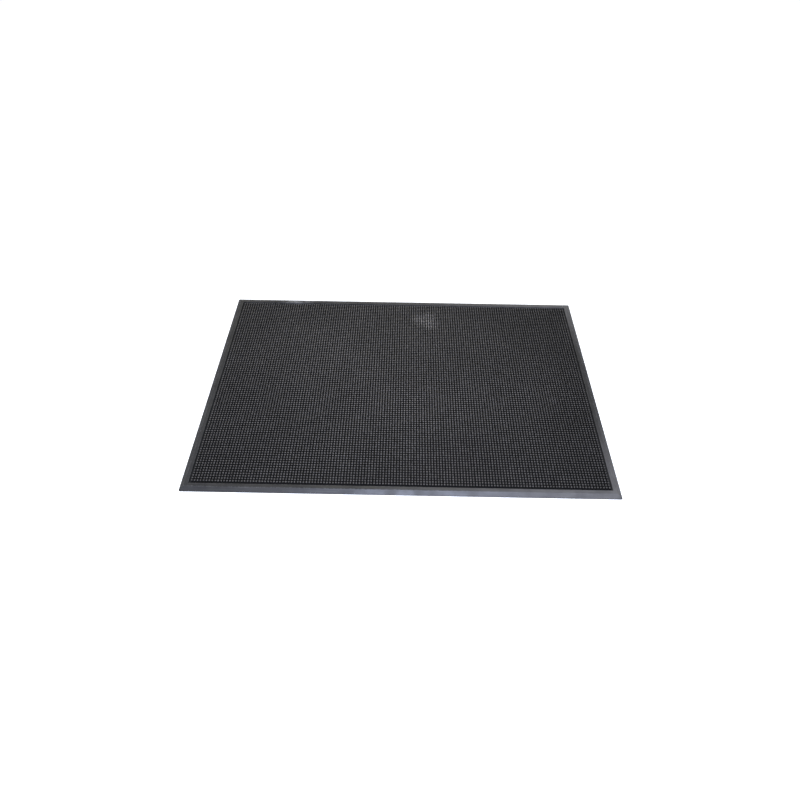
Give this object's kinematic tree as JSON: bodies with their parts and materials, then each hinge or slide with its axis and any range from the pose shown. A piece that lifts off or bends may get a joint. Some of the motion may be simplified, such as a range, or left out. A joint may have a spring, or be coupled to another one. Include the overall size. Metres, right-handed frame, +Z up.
{
  "type": "door mat",
  "caption": "Rectangular black rubber scraper mat: a close grid of short flexible fingers on a thin base sheet, framed by bevelled, mitred edging.",
  "frame": {"origin": "centre of the underside, in the plane that the mat lies on", "axes": "+X along the long side, +Y from the front edge to the back edge, +Z up from the underside to the fingertips"},
  "size_m": [0.9, 0.6, 0.0075],
  "materials": {
    "border_rubber": "satin moulded rubber",
    "finger_rubber": "satin moulded rubber, worn at the tips",
    "base_rubber": "matt moulded rubber"
  },
  "bodies": {
    "root": {"base_sheet": "base_rubber", "border_front": "border_rubber", "border_back": "border_rubber", "border_left": "border_rubber", "border_right": "border_rubber", "finger_panel_01": "finger_rubber", "finger_panel_02": "finger_rubber", "finger_panel_03": "finger_rubber", "finger_panel_04": "finger_rubber", "finger_panel_05": "finger_rubber", "finger_panel_06": "finger_rubber", "finger_panel_07": "finger_rubber", "finger_panel_08": "finger_rubber", "finger_panel_09": "finger_rubber", "finger_panel_10": "finger_rubber", "finger_panel_11": "finger_rubber"}
  },
  "joints": []
}
